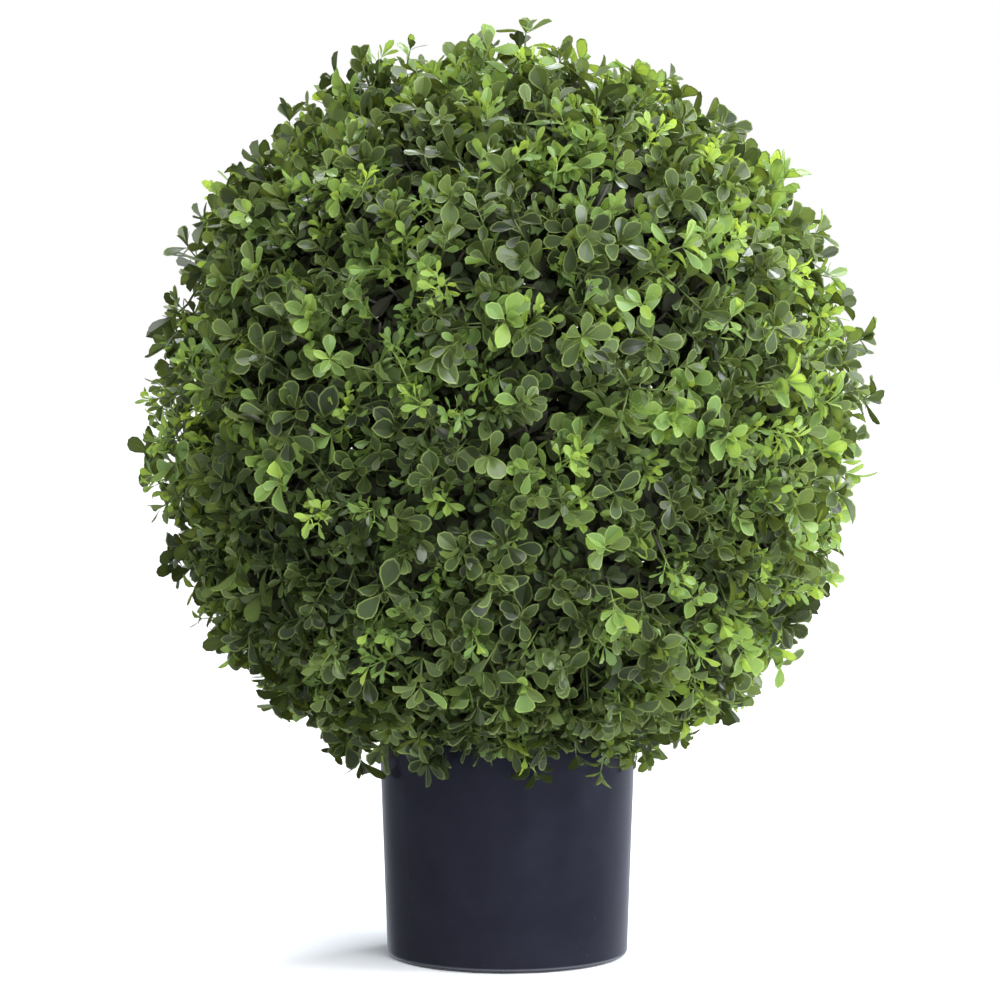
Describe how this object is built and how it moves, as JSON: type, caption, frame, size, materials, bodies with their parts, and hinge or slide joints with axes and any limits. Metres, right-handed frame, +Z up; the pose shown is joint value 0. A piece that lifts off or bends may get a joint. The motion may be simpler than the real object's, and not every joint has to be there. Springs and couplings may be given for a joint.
{
  "type": "artificial box topiary ball in a pot",
  "caption": "Clipped ball of moulded small-leaved box foliage on a short hidden stem, standing in a plain tapered dark plastic pot.",
  "frame": {"origin": "centre of the pot's flat underside", "axes": "+Z up along the stem and the pot's axis, -Y towards the front seen in the picture, +X to its right"},
  "size_m": [0.4864, 0.4701, 0.6037],
  "materials": {
    "pot_plastic": "satin, moulded",
    "mortar": "rough, cast",
    "stem_wood": "matt",
    "foliage": "satin green leaves"
  },
  "bodies": {
    "root": {"pot": "pot_plastic", "pot_filling": "mortar", "stem": "stem_wood", "foliage_ball": "foliage"}
  },
  "joints": []
}
